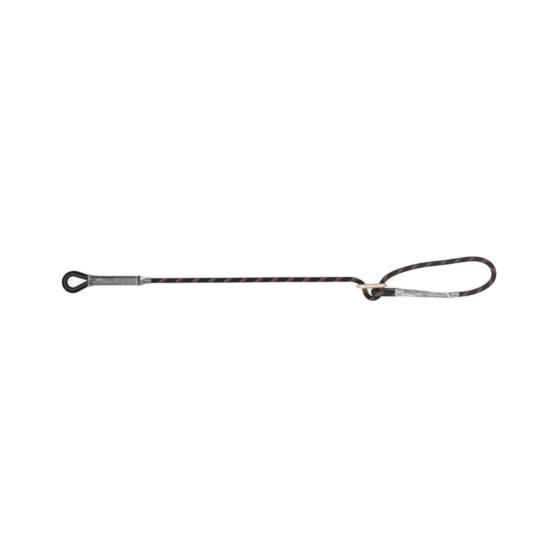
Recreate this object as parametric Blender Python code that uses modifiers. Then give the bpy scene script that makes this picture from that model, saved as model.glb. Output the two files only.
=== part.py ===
"""Adjustable rope lanyard, laid out flat: a kernmantle rope with a thimble eye sewn at one end. It is reeved
through a ring adjuster, round its own sewn terminal eye and back through the ring into a loop.

Metres, +Z up, floor at Z = 0. +X runs along the lanyard from the thimble eye to the loop.
"""

import math

import bmesh
import bpy
from mathutils import Matrix, Vector

# Rope
ROPE_DIAMETER = 0.012
SHEATH_WALL = 0.0018
CLEARANCE = 0.0003
EYE_ROPE_DIAMETER = 0.0114  # pulled into the thimble's groove
SEWN_ROPE_DIAMETER = 0.0100  # squeezed by the stitches
TAIL_ROPE_DIAMETER = 0.0105  # at the cut tail, past the stitches

# Thimble
EYE_RADIUS = 0.0137
EYE_LENGTH = 0.0359  # centre of the round end to the point of the drop
EYE_POINT_RADIUS = 0.0005
THROAT_WALL = 0.002
FLANGE_DEPTH = 0.009
FLANGE_WALL = 0.0017
THIMBLE_EDGE = 0.0007
THIMBLE_NOSE = 0.0003  # beyond the point where the drop's flanks meet
THIMBLE_X = -0.4637
THIMBLE_DROOP = math.radians(6.0)  # the eye hangs a little below the sleeve's axis

# Sewn terminations
THREAD_DIAMETER = 0.0006
STITCH_PITCH = 0.0040
SEAM_MARGIN = 0.001  # how far the seam's full thickness runs past its end stitches
LABEL_THICKNESS = 0.0003
LABEL_BEFORE = 0.0195  # how far the label reaches past the first stitch
LABEL_AFTER = 0.0054
LABEL_TURNS = (math.radians(75), math.radians(150))  # from just past one crest down the other outer side
SLEEVE_WALL = 0.0005
SLEEVE_FIT = 0.0005
MOUTH_FLARE = 0.0004  # extra room where the strands spread into the eye
MOUTH_FLARE_LENGTH = 0.006
SLEEVE_POINTS = 16
MOUTH_SPREAD = 0.0015  # how much further apart the strands are in the neck than in the seam
LEFT_AXIS_Y = 0.0103
LEFT_NECK_LENGTH = 0.0328  # from the drop's point to the first stitch
LEFT_SEAM_RISE = 0.0098  # before the first stitch, where the sleeve has risen to the seam's thickness
LEFT_SEAM_LENGTH = 0.0841
LEFT_TAIL_LENGTH = 0.0124  # from the last stitch to the rope's cut end
LEFT_TAPER_LENGTH = 0.0267  # from there to the sleeve's end
RIGHT_MOUTH_X = 0.3329
RIGHT_NECK_LENGTH = 0.0267  # from the sleeve's mouth to the first stitch
RIGHT_SEAM_LENGTH = 0.0544
RIGHT_TAIL_LENGTH = 0.0445
RIGHT_TAPER_LENGTH = 0.0322
RIGHT_NECK_Y = (-0.0182, -0.0187)
RIGHT_SEAM_Y = (-0.0195, -0.0215, -0.0238)
RIGHT_TAIL_Y = (-0.0248, -0.0260)
RIGHT_TAPER_Y = (-0.0252, -0.0243, -0.0238)

# Adjuster ring, a closed bar that swells in the middle of its long sides
RING_LENGTH = 0.0755
RING_OPENING_HEIGHT = 0.0178
RING_BAR_DIAMETER = 0.0106
RING_TIP_DIAMETER = 0.0068
RING_PLACE = (0.2736, -0.0031)
RING_TURN = math.radians(2.6)
RING_BEND_STEPS = 12
RING_SIDE_STEPS = 6

# How finely a rope's route is cut into straight tube
FREE_STEP = 2.5 * ROPE_DIAMETER
FREE_TURN = math.radians(18)
SEWN_TURN = math.radians(15)
END_STEP = 0.0012
STATION_STEP = 0.004
STATION_CHANGE = 0.0012

ROPE_RADIUS = ROPE_DIAMETER / 2
EYE_ROPE_RADIUS = EYE_ROPE_DIAMETER / 2
SEWN_ROPE_RADIUS = SEWN_ROPE_DIAMETER / 2
TAIL_ROPE_RADIUS = TAIL_ROPE_DIAMETER / 2
THREAD_RADIUS = THREAD_DIAMETER / 2
THIMBLE_HEIGHT = EYE_ROPE_DIAMETER + 2 * CLEARANCE + 2 * FLANGE_WALL
LEFT_AXIS_Z = THIMBLE_HEIGHT / 2
GROOVE_RADIUS = EYE_ROPE_RADIUS + CLEARANCE
EYE_ROUTE_RADIUS = EYE_RADIUS + THROAT_WALL + GROOVE_RADIUS
FLOOR_GAP = 0.0002
ROPE_LIE = ROPE_RADIUS + FLOOR_GAP  # height of the axis of rope that lies on the floor
SEWN_SPREAD = SEWN_ROPE_RADIUS + CLEARANCE  # half the distance between two sewn strands
TAIL_SPREAD = TAIL_ROPE_RADIUS + CLEARANCE
NECK_ROPE_RADIUS = 0.6 * EYE_ROPE_RADIUS + 0.4 * SEWN_ROPE_RADIUS
SEAM_ROPE_RADIUS = 0.3 * EYE_ROPE_RADIUS + 0.7 * SEWN_ROPE_RADIUS  # just before the first stitch
TAPER_ROPE_RADIUS = 0.5 * TAIL_ROPE_RADIUS + 0.5 * ROPE_RADIUS  # just past the cut tail
LEFT_SEAM_X = THIMBLE_X + EYE_LENGTH + LEFT_NECK_LENGTH
LEFT_SEAM_END = LEFT_SEAM_X + LEFT_SEAM_LENGTH
LEFT_TAIL_END = LEFT_SEAM_END + LEFT_TAIL_LENGTH
LEFT_SLEEVE_END = LEFT_TAIL_END + LEFT_TAPER_LENGTH
RIGHT_SEAM_X = RIGHT_MOUTH_X + RIGHT_NECK_LENGTH
RIGHT_SEAM_END = RIGHT_SEAM_X + RIGHT_SEAM_LENGTH
RIGHT_TAIL_END = RIGHT_SEAM_END + RIGHT_TAIL_LENGTH
RIGHT_SLEEVE_END = RIGHT_TAIL_END + RIGHT_TAPER_LENGTH
THIMBLE_END = EYE_LENGTH + THIMBLE_NOSE
THIMBLE_Y = LEFT_AXIS_Y - THIMBLE_END * math.sin(THIMBLE_DROOP)
SLEEVE_TURNS = [2 * math.pi * (k + 0.5) / SLEEVE_POINTS for k in range(SLEEVE_POINTS)]
ROPE_SIDES = 10
CORE_SIDES = 8
THREAD_SIDES = 6
RING_SIDES = 14
DROP_STEPS = 26
DROP_POINT_STEPS = 4
EYE_ROUTE_STEPS = 10
SMOOTH_UNDER = math.radians(35)
BEVEL_OVER = math.radians(50)
ROPE_FLATNESS = math.cos(math.pi / ROPE_SIDES)  # a facet's middle lies this share of the radius out
DROP_LEAN = math.asin(EYE_RADIUS / EYE_LENGTH)  # of the drop's flanks to its axis

# Free rope, one route from the left sleeve through the adjuster and round the loop to the right sleeve.
# Each point is x, y and the lift of the rope's axis over ROPE_LIE. Each stretch starts where the last one ends.
STANDING_PART = [
    (-0.2640, 0.0104, 0.0011),
    (-0.2490, 0.0104, 0.0004),
    (-0.2243, 0.0105, 0.0),
    (-0.1624, 0.0110, 0.0),
    (-0.0882, 0.0113, 0.0),
    (-0.0140, 0.0120, 0.0),
    (0.0602, 0.0127, 0.0),
    (0.1345, 0.0127, 0.0),
    (0.1840, 0.0132, 0.0001),
    (0.2087, 0.0133, 0.0012),
]
ADJUSTER_BIGHT = [
    (0.2211, 0.0133, 0.0032),
    (0.2309, 0.0121, 0.0060),
    (0.2397, 0.0092, 0.0092),
    (0.2475, 0.0048, 0.0119),
    (0.2521, 0.0000, 0.0131),
    (0.2545, -0.0046, 0.0133),
    (0.2564, -0.0112, 0.0118),
    (0.2586, -0.0183, 0.0084),
    (0.2631, -0.0266, 0.0040),
    (0.2692, -0.0317, 0.0010),
    (0.2760, -0.0336, 0.0001),
    (0.2834, -0.0323, 0.0016),
    (0.2903, -0.0281, 0.0056),
    (0.2950, -0.0222, 0.0098),
    (0.2971, -0.0155, 0.0131),
    (0.2977, -0.0090, 0.0137),
    (0.2976, -0.0031, 0.0137),
    (0.2984, 0.0027, 0.0136),
    (0.3023, 0.0088, 0.0125),
    (0.3078, 0.0151, 0.0100),
    (0.3151, 0.0209, 0.0068),
    (0.3226, 0.0252, 0.0040),
]
LOOP_OUT = [
    (0.3375, 0.0318, 0.0010),
    (0.3598, 0.0393, 0.0),
    (0.3893, 0.0466, 0.0),
    (0.4190, 0.0512, 0.0),
    (0.4486, 0.0544, 0.0),
    (0.4783, 0.0586, 0.0),
    (0.5080, 0.0628, 0.0),
    (0.5228, 0.0638, 0.0),
    (0.5377, 0.0630, 0.0),
]
LOOP_BEND = [
    (0.5526, 0.0590, 0.0),
    (0.5652, 0.0515, 0.0),
    (0.5737, 0.0400, 0.0),
    (0.5764, 0.0262, 0.0),
    (0.5731, 0.0128, 0.0),
    (0.5655, 0.0031, 0.0),
    (0.5558, -0.0046, 0.0),
    (0.5446, -0.0107, 0.0),
    (0.5375, -0.0138, 0.0),
]
LOOP_RETURN = [
    (0.5229, -0.0188, 0.0),
    (0.5080, -0.0217, 0.0002),
    (0.4985, -0.0230, 0.0006),
]

# Terminal eye, from the mouth of the right sleeve on its upper strand to its mouth on the lower one.
TERMINAL_EYE = [
    (0.3235, -0.0221, 0.0165),
    (0.3110, -0.0218, 0.0208),
    (0.2990, -0.0215, 0.0240),
    (0.2905, -0.0211, 0.0244),
    (0.2830, -0.0203, 0.0215),
    (0.2785, -0.0190, 0.0150),
    (0.2782, -0.0172, 0.0085),
    (0.2820, -0.0154, 0.0032),
    (0.2900, -0.0143, 0.0004),
    (0.3050, -0.0141, 0.0),
    (0.3200, -0.0150, 0.0004),
]

scene_parts = bpy.data.collections.new("adjustable_rope_lanyard")
scene_cutters = bpy.data.collections.new("cutters")


def clear_scene():
    for old in list(bpy.data.objects):
        bpy.data.objects.remove(old, do_unlink=True)
    bpy.context.scene.collection.children.link(scene_parts)
    bpy.context.scene.collection.children.link(scene_cutters)


def material(name, color, roughness, metallic=0.0, alpha=1.0):
    made = bpy.data.materials.new(name)
    made.use_nodes = True
    shader = made.node_tree.nodes["Principled BSDF"]
    shader.inputs["Base Color"].default_value = (*color, 1.0)
    shader.inputs["Roughness"].default_value = roughness
    shader.inputs["Metallic"].default_value = metallic
    shader.inputs["Alpha"].default_value = alpha
    return made


def add(name, data, finish, collection=None):
    obj = bpy.data.objects.new(name, data)
    (collection or scene_parts).objects.link(obj)
    if finish:
        data.materials.append(finish)
    if isinstance(data, bpy.types.Mesh):
        data.shade_smooth()
        data.set_sharp_from_angle(angle=SMOOTH_UNDER)
    return obj


def cut(obj, cutter):
    cutter.hide_render = True
    cutter.display_type = "WIRE"
    change = obj.modifiers.new(cutter.name, "BOOLEAN")
    change.operation = "DIFFERENCE"
    change.solver = "EXACT"
    change.object = cutter


class Route:
    """A smooth line through points of (place, rope radius), measured along its length."""

    SAMPLES = 16

    def __init__(self, points):
        self.places = [Vector(place) for place, _ in points]
        self.radii = [radius for _, radius in points]
        self.line = []
        self.knots = []
        for i in range(len(points) - 1):
            self.knots.append(len(self.line))
            self.line += [self.between(i, k / self.SAMPLES) for k in range(self.SAMPLES)]
        self.knots.append(len(self.line))
        self.line.append((self.places[-1], self.radii[-1]))
        self.lengths = [0.0]
        for (a, _), (b, _) in zip(self.line, self.line[1:]):
            self.lengths.append(self.lengths[-1] + (b - a).length)

    def neighbour(self, i):
        """The place before the first point or after the last one, mirrored from the next."""
        if i < 0:
            return 2 * self.places[0] - self.places[1]
        if i >= len(self.places):
            return 2 * self.places[-1] - self.places[-2]
        return self.places[i]

    def between(self, i, share):
        """A centripetal Catmull-Rom curve, which doesn't overshoot where the points lie unevenly."""
        p = [self.neighbour(k) for k in range(i - 1, i + 3)]
        t = [0.0]
        for a, b in zip(p, p[1:]):
            t.append(t[-1] + math.sqrt((b - a).length))
        at = t[1] + share * (t[2] - t[1])

        def mix(a, b, start, end):
            return a.lerp(b, (at - start) / (end - start))

        first = [mix(p[k], p[k + 1], t[k], t[k + 1]) for k in range(3)]
        second = [mix(first[k], first[k + 1], t[k], t[k + 2]) for k in range(2)]
        place = mix(second[0], second[1], t[1], t[2])
        ease = share * share * (3 - 2 * share)
        return place, self.radii[i] + ease * (self.radii[i + 1] - self.radii[i])

    def at(self, length):
        """Place and radius at a length along the route."""
        length = min(max(length, 0.0), self.lengths[-1])
        for k in range(1, len(self.lengths)):
            if self.lengths[k] >= length:
                break
        span = self.lengths[k] - self.lengths[k - 1]
        share = (length - self.lengths[k - 1]) / span if span else 0.0
        (a, radius_a), (b, radius_b) = self.line[k - 1], self.line[k]
        return a.lerp(b, share), radius_a + share * (radius_b - radius_a)

    def knot_length(self, i):
        return self.lengths[self.knots[i]]

    def stretch(self, start, end, most_turn):
        """Points from start to end, closer together where the rope bends."""
        picked = [start, start + END_STEP]
        turned = 0.0
        for k in range(1, len(self.line) - 1):
            here = self.lengths[k]
            if not start + END_STEP < here < end - END_STEP:
                continue
            (a, _), (b, _), (c, _) = self.line[k - 1 : k + 2]
            turned += (b - a).angle(c - b, 0.0)
            if here - picked[-1] > FREE_STEP or turned > most_turn:
                picked.append(here)
                turned = 0.0
        if picked[-1] > end - 2 * END_STEP and len(picked) > 2:
            picked.pop()
        picked += [end - END_STEP, end]
        return [self.at(length) for length in picked]


def tube(name, points, finish, sides=ROPE_SIDES, capped=True, closed=False, collection=None):
    """A curve with a round bevel along points of (place, radius)."""
    data = bpy.data.curves.new(name, "CURVE")
    data.dimensions = "3D"
    data.fill_mode = "FULL"
    data.bevel_depth = 1.0
    data.bevel_resolution = sides // 2 - 2
    data.use_fill_caps = capped
    spline = data.splines.new("POLY")
    spline.points.add(len(points) - 1)
    spline.use_cyclic_u = closed
    spline.use_smooth = True
    for point, (place, radius) in zip(spline.points, points):
        point.co = (*place, 1.0)
        point.radius = radius
    return add(name, data, finish, collection)


def sheath_and_core(name, points):
    """The braided sheath, a pipe, and the load-bearing core inside it."""
    sheath = tube(f"{name}_sheath", points, sheath_finish, capped=False)
    wall = sheath.modifiers.new("wall", "SOLIDIFY")
    wall.thickness = SHEATH_WALL
    wall.offset = -1.0
    wall.use_even_offset = True
    inside = [(place, radius * ROPE_FLATNESS - SHEATH_WALL - CLEARANCE) for place, radius in points]
    tube(f"{name}_core", inside, core_finish, sides=CORE_SIDES)


def mesh_of(curve):
    """The curve object as a mesh object with its caps welded on, in the same collection."""
    bpy.context.view_layer.update()
    graph = bpy.context.evaluated_depsgraph_get()
    mesh = bpy.data.meshes.new_from_object(curve.evaluated_get(graph))
    work = bmesh.new()
    work.from_mesh(mesh)
    bmesh.ops.remove_doubles(work, verts=work.verts, dist=1e-6)
    bmesh.ops.recalc_face_normals(work, faces=work.faces)
    work.to_mesh(mesh)
    work.free()
    name, home, place = curve.name, curve.users_collection[0], curve.matrix_world.copy()
    bpy.data.objects.remove(curve, do_unlink=True)
    made = add(name, mesh, None, home)
    made.matrix_world = place
    return made


def drop_outline(grow):
    """The thimble's drop-shaped outline, its walls moved out by grow, point at +X, as corners."""
    radius = EYE_RADIUS + grow
    first = math.pi / 2 - DROP_LEAN
    round_end = [first + (2 * math.pi - 2 * first) * k / DROP_STEPS for k in range(DROP_STEPS + 1)]
    corners = [(radius * math.cos(a), radius * math.sin(a)) for a in round_end]
    if grow:
        height = flank_at(THIMBLE_END, grow)
        return corners + [(THIMBLE_END, -height), (THIMBLE_END, height)]
    tip = EYE_LENGTH - EYE_POINT_RADIUS / math.sin(DROP_LEAN)
    for k in range(DROP_POINT_STEPS + 1):
        a = first * (2 * k / DROP_POINT_STEPS - 1)
        corners.append((tip + EYE_POINT_RADIUS * math.cos(a), EYE_POINT_RADIUS * math.sin(a)))
    return corners


def flank_at(x, grow):
    """Half the drop's width at x on its flanks, its walls moved out by grow."""
    return (EYE_RADIUS + grow - x * math.sin(DROP_LEAN)) / math.cos(DROP_LEAN)


def eye_to_world(x, y):
    place = Matrix.Rotation(THIMBLE_DROOP, 2) @ Vector((x, y))
    return Vector((place.x + THIMBLE_X, place.y + THIMBLE_Y, LEFT_AXIS_Z))


class Termination:
    """Two sewn strands under a sleeve: x, y, half their spread, the way they stack, their radius and how much
    of the seam's thickness the sleeve holds there. Without an axis height it lies on the floor."""

    def __init__(self, table, seam, axis_z=None):
        self.table = table
        self.seam = seam
        self.axis_z = axis_z
        self.start, self.end = table[0][0], table[-1][0]

    def slope(self, i, column):
        """A slope at a row that never lets the curve overshoot its rows."""
        rises = [
            (b[column] - a[column]) / (xb - xa)
            for (xa, *a), (xb, *b) in zip(self.table, self.table[1:])
        ]
        before, after = rises[max(i - 1, 0)], rises[min(i, len(rises) - 1)]
        return 2 * before * after / (before + after) if before * after > 0 else 0.0

    def values(self, x):
        for i in range(len(self.table) - 1):
            if x <= self.table[i + 1][0]:
                break
        (xa, *a), (xb, *b) = self.table[i], self.table[i + 1]
        span = xb - xa
        t = min(max((x - xa) / span, 0.0), 1.0)
        found = []
        for k in range(len(a)):
            rise = span * self.slope(i, k), span * self.slope(i + 1, k)
            found.append(
                (1 + 2 * t) * (1 - t) ** 2 * a[k]
                + t * (1 - t) ** 2 * rise[0]
                + t * t * (3 - 2 * t) * b[k]
                - t * t * (1 - t) * rise[1]
            )
        return found

    def flare(self, x):
        """How much further out the sleeve stands near its mouth."""
        return MOUTH_FLARE * max(0.0, 1 - (x - self.start) / MOUTH_FLARE_LENGTH)

    def frame(self, x):
        """Middle of the strands, the two directions of the section, spread, radius and sleeve's cover."""
        y, spread, stack, radius, packed = self.values(x)
        across = Vector((0, math.cos(stack), math.sin(stack)))
        outward = Vector((0, -math.sin(stack), math.cos(stack)))
        cover = SLEEVE_FIT + SLEEVE_WALL + packed * self.seam
        z = self.axis_z
        if z is None:
            ends, sides = radius + SLEEVE_FIT + SLEEVE_WALL, radius + cover
            z = spread * across.z + math.hypot(ends * across.z, sides * outward.z)
            z += self.flare(x) + FLOOR_GAP
        return Vector((x, y, z)), across, outward, spread, radius, cover

    def strand(self, x, side):
        middle, across, _, spread, radius, _ = self.frame(x)
        return middle + side * spread * across, radius

    def exit_point(self, out):
        """A point straight out of the sleeve's single end."""
        return self.frame(self.end)[0] + Vector((out, 0, 0)), ROPE_RADIUS

    def section(self, x, turns, inset=0.0):
        """Points round both strands, two half ellipses drawn in by inset. Leaning strands are wider across."""
        middle, across, outward, spread, radius, cover = self.frame(x)
        near, far = max(x - END_STEP, self.start), min(x + END_STEP, self.end)
        lean = (self.values(far)[1] - self.values(near)[1]) / (far - near)
        proud = self.flare(x) - inset
        ends = radius * math.hypot(1, lean) + SLEEVE_FIT + SLEEVE_WALL + proud
        sides = radius + cover + proud
        return [
            middle
            + (math.copysign(spread, math.cos(turn)) + ends * math.cos(turn)) * across
            + sides * math.sin(turn) * outward
            for turn in turns
        ]

    def stations(self, start=None, end=None):
        """Places along it, closer together where its section changes."""
        start, end = self.start if start is None else start, self.end if end is None else end
        places = []
        for (a, *before), (b, *after) in zip(self.table, self.table[1:]):
            y, spread, stack, *_ = (abs(p - q) for p, q in zip(before, after))
            change = max(y, spread, stack * ROPE_DIAMETER)
            steps = max(1, min(round((b - a) / STATION_STEP), math.ceil(change / STATION_CHANGE)))
            places += [a + (b - a) * k / steps for k in range(steps)]
        near = END_STEP / 2
        return [start] + [x for x in places if start + near < x < end - near] + [end]

    def rope(self, tail_end, eye):
        """The sewn rope from its cut tail along one strand, round the eye and back along the other strand."""
        first = [self.strand(x, 1) for x in reversed(self.stations(end=tail_end))]
        last = [self.strand(x, -1) for x in self.stations()]
        route = Route([*first[-2:], *eye, *last[:2]])
        bend = route.stretch(route.knot_length(1), route.knot_length(len(eye) + 2), SEWN_TURN)
        return first[:-1] + bend + last[1:]


def lofted(name, rings, closed, thickness, finish):
    """An open surface through rings of points, given its thickness inwards."""
    work = bmesh.new()
    placed = [[work.verts.new(point) for point in ring] for ring in rings]
    count = len(rings[0])
    for lower, upper in zip(placed, placed[1:]):
        for k in range(count if closed else count - 1):
            nxt = (k + 1) % count
            work.faces.new((lower[k], lower[nxt], upper[nxt], upper[k]))
    mesh = bpy.data.meshes.new(name)
    work.to_mesh(mesh)
    work.free()
    obj = add(name, mesh, finish)
    wall = obj.modifiers.new("wall", "SOLIDIFY")
    wall.thickness = thickness
    wall.offset = -1.0
    wall.use_even_offset = True
    return obj


def sleeve(name, termination):
    rings = [termination.section(x, SLEEVE_TURNS) for x in termination.stations()]
    lofted(name, rings, True, SLEEVE_WALL, sleeve_finish)


def stitching(name, termination, start, end, side):
    """One thread of the seam: bars across both strands, joined by steps along their crests."""
    count = round((end - start) / STITCH_PITCH)
    points = []
    for k in range(count + 1):
        middle, across, outward, spread, radius, _ = termination.frame(start + (end - start) * k / count)
        lift = side * (radius + CLEARANCE + THREAD_RADIUS)
        ends = [middle + s * spread * across + lift * outward for s in (-1, 1)]
        points += ends if k % 2 else ends[::-1]
    tube(name, [(point, THREAD_RADIUS) for point in points], thread_finish, sides=THREAD_SIDES)


def label():
    """A printed strip that lies over the seam, under the clear sleeve."""
    turns = [turn for turn in SLEEVE_TURNS if LABEL_TURNS[0] < turn < LABEL_TURNS[1]]
    inset = SLEEVE_WALL + CLEARANCE
    span = LEFT_SEAM_X - LABEL_BEFORE, LEFT_SEAM_END + LABEL_AFTER
    rings = [left_end.section(x, turns, inset) for x in left_end.stations(*span)]
    lofted("label", rings, False, LABEL_THICKNESS, label_finish)


def thimble():
    data = bpy.data.curves.new("thimble", "CURVE")
    data.dimensions = "2D"
    data.fill_mode = "BOTH"
    data.extrude = THIMBLE_HEIGHT / 2
    for grow in (THROAT_WALL + FLANGE_DEPTH, 0.0):
        corners = drop_outline(grow)
        spline = data.splines.new("POLY")
        spline.points.add(len(corners) - 1)
        spline.use_cyclic_u = True
        for point, corner in zip(spline.points, corners):
            point.co = (*corner, 0.0, 1.0)
    blank = add("thimble", data, None)
    blank.location = eye_to_world(0, 0)
    blank.rotation_euler = (0, 0, THIMBLE_DROOP)
    body = mesh_of(blank)
    body.data.materials.append(thimble_finish)
    edges = body.modifiers.new("edges", "BEVEL")
    edges.width = THIMBLE_EDGE
    edges.segments = 2
    edges.limit_method = "ANGLE"
    edges.angle_limit = BEVEL_OVER
    past_nose = left_end.table[1][0]
    wide = [(place, GROOVE_RADIUS) for place, _ in left_rope if place.x < past_nose]
    cut(body, mesh_of(tube("thimble_groove", wide, None, collection=scene_cutters)))


def adjuster_ring():
    """A long closed ring stood on edge, its bar thickest in the middle of the long sides."""
    bar, tip = RING_BAR_DIAMETER / 2, RING_TIP_DIAMETER / 2
    bend = RING_OPENING_HEIGHT / 2 + bar
    straight = RING_LENGTH / 2 - tip - bend
    points = []
    for side in (1, -1):
        for k in range(RING_BEND_STEPS + 1):
            a = math.pi * (k / RING_BEND_STEPS - 0.5)
            place = (side * (straight + bend * math.cos(a)), 0, side * bend * math.sin(a))
            points.append((place, bar + (tip - bar) * math.cos(a) ** 2))
        for k in range(1, RING_SIDE_STEPS):
            share = 1 - 2 * k / RING_SIDE_STEPS
            points.append(((side * straight * share, 0, side * bend), bar))
    ring = tube("adjuster_ring", points, ring_finish, sides=RING_SIDES, capped=False, closed=True)
    ring.location = (*RING_PLACE, bend + bar)
    ring.rotation_euler = (0, 0, RING_TURN)


def left_termination():
    """From the thimble's nose to the single rope at the sleeve's end."""
    corner = flank_at(THIMBLE_END, THROAT_WALL + FLANGE_DEPTH)
    mouth = eye_to_world(THIMBLE_END + CLEARANCE, -corner).x
    flank = flank_at(THIMBLE_END, EYE_ROUTE_RADIUS - EYE_RADIUS)
    neck_end = LEFT_SEAM_X - LEFT_SEAM_RISE
    rows = [
        (mouth, flank, EYE_ROPE_RADIUS, 0),
        (mouth + 0.42 * (neck_end - mouth), SEWN_SPREAD + MOUTH_SPREAD, NECK_ROPE_RADIUS, 0.3),
        (neck_end, SEWN_SPREAD + 0.2 * MOUTH_SPREAD, SEAM_ROPE_RADIUS, 1),
        (LEFT_SEAM_X, SEWN_SPREAD, SEWN_ROPE_RADIUS, 1),
        (LEFT_SEAM_END + SEAM_MARGIN, SEWN_SPREAD, SEWN_ROPE_RADIUS, 1),
        (LEFT_TAIL_END, TAIL_SPREAD, TAIL_ROPE_RADIUS, 0.2),
        (LEFT_TAIL_END + 0.19 * LEFT_TAPER_LENGTH, 0.67 * TAIL_SPREAD, TAPER_ROPE_RADIUS, 0),
        (LEFT_TAIL_END + 0.39 * LEFT_TAPER_LENGTH, 0.36 * TAIL_SPREAD, TAPER_ROPE_RADIUS, 0),
        (LEFT_TAIL_END + 0.67 * LEFT_TAPER_LENGTH, 0.09 * TAIL_SPREAD, ROPE_RADIUS, 0),
        (LEFT_SLEEVE_END - 2 * END_STEP, 0, ROPE_RADIUS, 0),
        (LEFT_SLEEVE_END, 0, ROPE_RADIUS, 0),
    ]
    table = [(x, LEFT_AXIS_Y, spread, 0, radius, packed) for x, spread, radius, packed in rows]
    seam = THREAD_DIAMETER + LABEL_THICKNESS + 2 * CLEARANCE
    return Termination(table, seam, LEFT_AXIS_Z)


def right_termination():
    """From the terminal eye to the single rope at the sleeve's end. The strands stack upwards here."""
    neck, seam, tail, taper = RIGHT_NECK_Y, RIGHT_SEAM_Y, RIGHT_TAIL_Y, RIGHT_TAPER_Y
    rows = [
        (RIGHT_MOUTH_X, neck[0], SEWN_SPREAD + 1.2 * MOUTH_SPREAD, 0.56, NECK_ROPE_RADIUS, 0),
        (
            RIGHT_MOUTH_X + 0.37 * RIGHT_NECK_LENGTH,
            neck[1],
            SEWN_SPREAD + 0.4 * MOUTH_SPREAD,
            0.48,
            SEAM_ROPE_RADIUS,
            0.6,
        ),
        (RIGHT_SEAM_X - SEAM_MARGIN, seam[0], SEWN_SPREAD, 0.41, SEWN_ROPE_RADIUS, 1),
        (RIGHT_SEAM_X + 0.5 * RIGHT_SEAM_LENGTH, seam[1], SEWN_SPREAD, 0.33, SEWN_ROPE_RADIUS, 1),
        (RIGHT_SEAM_END + SEAM_MARGIN, seam[2], SEWN_SPREAD, 0.15, SEWN_ROPE_RADIUS, 1),
        (RIGHT_SEAM_END + 0.34 * RIGHT_TAIL_LENGTH, tail[0], SEWN_SPREAD, 0.06, SEWN_ROPE_RADIUS, 0),
        (RIGHT_TAIL_END, tail[1], TAIL_SPREAD, 0, TAIL_ROPE_RADIUS, 0),
        (RIGHT_TAIL_END + 0.37 * RIGHT_TAPER_LENGTH, taper[0], 0.47 * TAIL_SPREAD, 0, TAPER_ROPE_RADIUS, 0),
        (RIGHT_TAIL_END + 0.68 * RIGHT_TAPER_LENGTH, taper[1], 0.09 * TAIL_SPREAD, 0, ROPE_RADIUS, 0),
        (RIGHT_SLEEVE_END - 2 * END_STEP, taper[2], 0, 0, ROPE_RADIUS, 0),
        (RIGHT_SLEEVE_END, taper[2], 0, 0, ROPE_RADIUS, 0),
    ]
    table = [(x, y, spread, math.pi / 2 + turn, *rest) for x, y, spread, turn, *rest in rows]
    return Termination(table, THREAD_DIAMETER + CLEARANCE)


def thimble_route():
    """Round the thimble, from its upper flank to its lower one."""
    start = math.pi / 2 - DROP_LEAN
    flank_x = (THIMBLE_END + EYE_ROUTE_RADIUS * math.cos(start)) / 2
    flank_y = flank_at(flank_x, EYE_ROUTE_RADIUS - EYE_RADIUS)
    turn = (2 * math.pi - 2 * start) / EYE_ROUTE_STEPS
    turns = [start + turn * k for k in range(EYE_ROUTE_STEPS + 1)]
    eye = [(flank_x, flank_y)]
    eye += [(EYE_ROUTE_RADIUS * math.cos(turn), EYE_ROUTE_RADIUS * math.sin(turn)) for turn in turns]
    eye.append((flank_x, -flank_y))
    return [(eye_to_world(*place), EYE_ROPE_RADIUS) for place in eye]


def lifted(points):
    return [((x, y, ROPE_LIE + lift), ROPE_RADIUS) for x, y, lift in points]


def free_rope():
    """The live rope between the two sleeves, cut where the lanyard's bodies meet."""
    stretches = {
        "standing_part": [point for point in STANDING_PART if point[0] > left_end.end + ROPE_RADIUS],
        "adjuster_bight": ADJUSTER_BIGHT,
        "loop_out": LOOP_OUT,
        "loop_bend": LOOP_BEND,
        "loop_return": [point for point in LOOP_RETURN if point[0] > right_end.end + ROPE_RADIUS],
    }
    starts = [left_end.exit_point(CLEARANCE / 2), left_end.exit_point(END_STEP)]
    ends = [right_end.exit_point(END_STEP), right_end.exit_point(CLEARANCE / 2)]
    points, knots = starts, [0]
    for part in stretches.values():
        points += lifted(part)
        knots.append(len(points) - 1)
    points += ends
    knots[-1] = len(points) - 1
    route = Route(points)
    for name, first, last in zip(stretches, knots, knots[1:]):
        start = route.knot_length(first) + CLEARANCE / 2
        end = route.knot_length(last) - CLEARANCE / 2
        sheath_and_core(name, route.stretch(start, end, FREE_TURN))
    print(f"free rope {route.lengths[-1]:.3f} m")


clear_scene()
sheath_finish = material("braided_sheath", (0.03, 0.03, 0.035), 0.75)
core_finish = material("rope_core", (0.75, 0.73, 0.68), 0.8)
thread_finish = material("seam_thread", (0.6, 0.6, 0.6), 0.6)
thimble_finish = material("black_plastic", (0.02, 0.02, 0.022), 0.4)
sleeve_finish = material("clear_sleeve", (0.55, 0.55, 0.56), 0.35, alpha=0.5)
label_finish = material("printed_label", (0.45, 0.45, 0.46), 0.5)
ring_finish = material("gold_aluminium", (0.75, 0.62, 0.42), 0.3, metallic=1.0)

left_end = left_termination()
right_end = right_termination()
left_rope = left_end.rope(LEFT_TAIL_END, thimble_route())
right_rope = right_end.rope(RIGHT_TAIL_END, lifted(TERMINAL_EYE))

thimble()
sheath_and_core("left_eye", left_rope)
stitching("left_needle_thread", left_end, LEFT_SEAM_X, LEFT_SEAM_END, 1)
stitching("left_bobbin_thread", left_end, LEFT_SEAM_X, LEFT_SEAM_END, -1)
label()
sleeve("left_sleeve", left_end)
free_rope()
adjuster_ring()
sheath_and_core("terminal_eye", right_rope)
stitching("right_needle_thread", right_end, RIGHT_SEAM_X, RIGHT_SEAM_END, 1)
stitching("right_bobbin_thread", right_end, RIGHT_SEAM_X, RIGHT_SEAM_END, -1)
sleeve("right_sleeve", right_end)
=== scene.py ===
import math

import bmesh
import bpy
import numpy as np
from mathutils import Matrix, Vector, noise


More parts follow.
